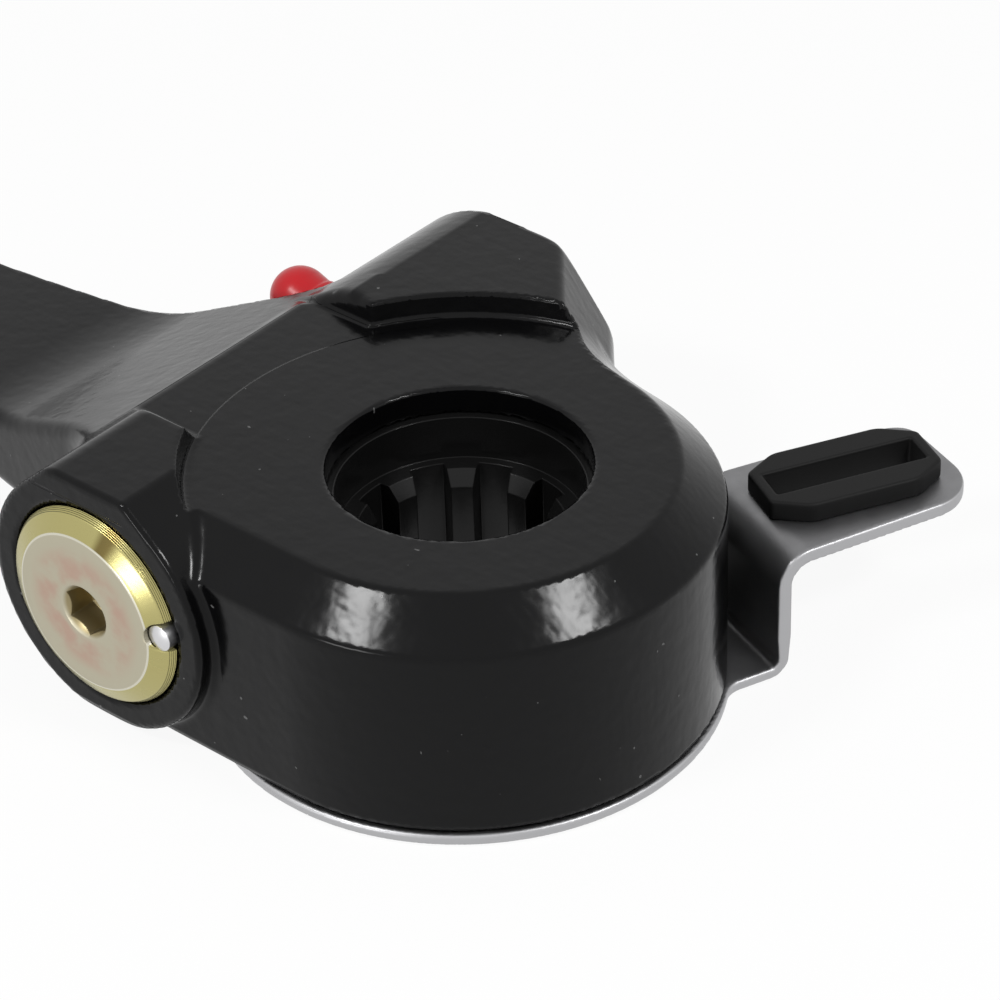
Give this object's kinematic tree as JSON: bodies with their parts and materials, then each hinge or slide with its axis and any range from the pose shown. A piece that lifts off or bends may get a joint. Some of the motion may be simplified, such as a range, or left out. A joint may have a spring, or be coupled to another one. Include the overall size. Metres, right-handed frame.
{
  "type": "automatic brake slack adjuster",
  "caption": "Automatic slack adjuster for a drum brake: black cast lever with a splined worm wheel, worm drive, gold end plug, and a bent zinc control arm with a slotted rubber bush.",
  "frame": {"origin": "on the camshaft axis, level with the worm axis", "axes": "+X along the lever arm to the clevis pin, +Y along the worm to the end plug, +Z along the camshaft out of the ring face"},
  "size_m": [0.2127, 0.1271, 0.0483],
  "materials": {
    "housing_paint": "semi-gloss black paint over cast iron",
    "wheel_black": "oiled black steel",
    "zinc_sheet": "bright zinc plated sheet",
    "yellow_zinc": "yellow passivated zinc",
    "plain_steel": "zinc plated steel",
    "gear_steel": "oiled ground steel",
    "spring_steel": "blued spring steel",
    "bronze": "bearing bronze",
    "rubber": "matt black rubber",
    "red_plastic": "soft red plastic"
  },
  "bodies": {
    "housing": {"housing": "housing_paint", "clevis_bush": "plain_steel", "wheel_seal": "rubber", "shaft_bush": "bronze", "shaft_seal": "rubber", "thrust_washer": "plain_steel", "disc_springs": "spring_steel", "plug_seal": "rubber", "end_plug": "yellow_zinc", "lock_pin": "plain_steel", "control_seal": "rubber", "cover_plate": "zinc_sheet", "cover_screws": "plain_steel", "grease_nipple": "plain_steel"},
    "wheel": {"worm_wheel": "wheel_black"},
    "worm": {"worm_screw": "gear_steel", "clutch_hub": "gear_steel"},
    "drive": {"drive_ring": "bronze", "one_way_spring": "spring_steel"},
    "control_gear": {"control_shaft": "gear_steel"},
    "control_arm": {"control_arm": "zinc_sheet", "control_ring": "gear_steel", "control_rivets": "plain_steel", "arm_bush": "rubber"},
    "cap": {"nipple_cap": "red_plastic"}
  },
  "joints": [
    {"name": "wheel_spin", "type": "hinge", "parent": "housing", "child": "wheel", "pos_m": [0, 0, 0], "axis": [0, 0, 1], "continuous": true},
    {"name": "worm_spin", "type": "hinge", "parent": "housing", "child": "worm", "pos_m": [0.0384, 0, 0], "axis": [0, 1, 0], "continuous": true},
    {"name": "control_arm_swing", "type": "hinge", "parent": "housing", "child": "control_arm", "pos_m": [0, 0, 0], "axis": [0, 0, 1], "range_deg": [-45, 20]},
    {"name": "control_gear_spin", "type": "hinge", "parent": "housing", "child": "control_gear", "pos_m": [0.0244, -0.03419, 0], "axis": [0, 0, 1], "range_deg": [-75, 167]},
    {"name": "drive_ring_spin", "type": "hinge", "parent": "housing", "child": "drive", "pos_m": [0.0384, -0.03419, 0], "axis": [0, 1, 0], "range_deg": [-12, 6]},
    {"name": "cap_pull", "type": "slide", "parent": "housing", "child": "cap", "axis": [0.9304, 0, 0.3665], "range_m": [0, 0.012]}
  ],
  "couplings": [
    {"joint": "worm_spin", "follows": "wheel_spin", "ratio": -22},
    {"joint": "control_gear_spin", "follows": "control_arm_swing", "ratio": -3.6667},
    {"joint": "drive_ring_spin", "follows": "control_arm_swing", "ratio": 0.2619}
  ]
}
